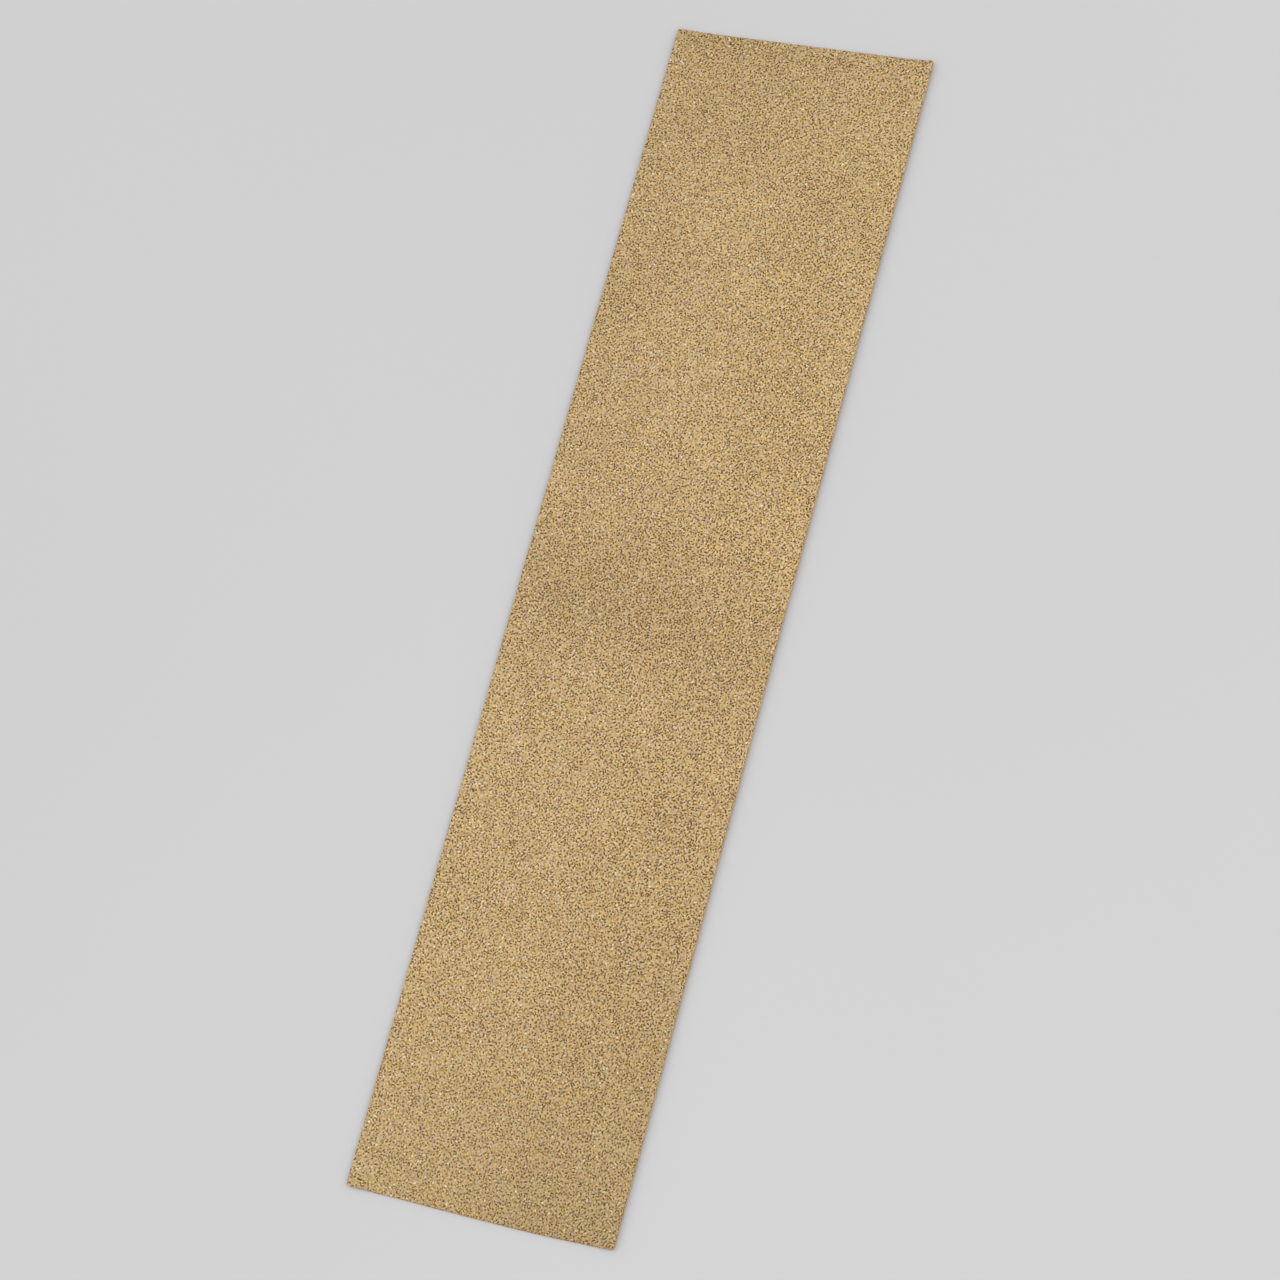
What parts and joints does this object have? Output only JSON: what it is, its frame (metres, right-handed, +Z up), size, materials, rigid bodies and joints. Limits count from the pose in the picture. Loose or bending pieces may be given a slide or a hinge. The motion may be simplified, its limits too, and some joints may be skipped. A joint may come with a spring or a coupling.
{
  "type": "abrasive paper strip",
  "caption": "Rectangular strip of coated abrasive paper for a hand sanding stick or bar, grain side up, its long edges curled slightly towards the grain.",
  "frame": {"origin": "middle of the flat band on the underside of the backing paper, which is the lowest plane and the centre of the strip in plan", "axes": "+Y along the strip, +X across it, +Z up, out of the grain side"},
  "size_m": [0.063, 0.28, 0.0016],
  "materials": {
    "kraft_paper": "matte",
    "amber_resin": "satin",
    "grain": "matte",
    "clear_resin": "satin"
  },
  "bodies": {
    "root": {"backing_paper": "kraft_paper", "make_coat": "amber_resin", "abrasive_grain": "grain", "size_coat": "clear_resin"}
  },
  "joints": []
}
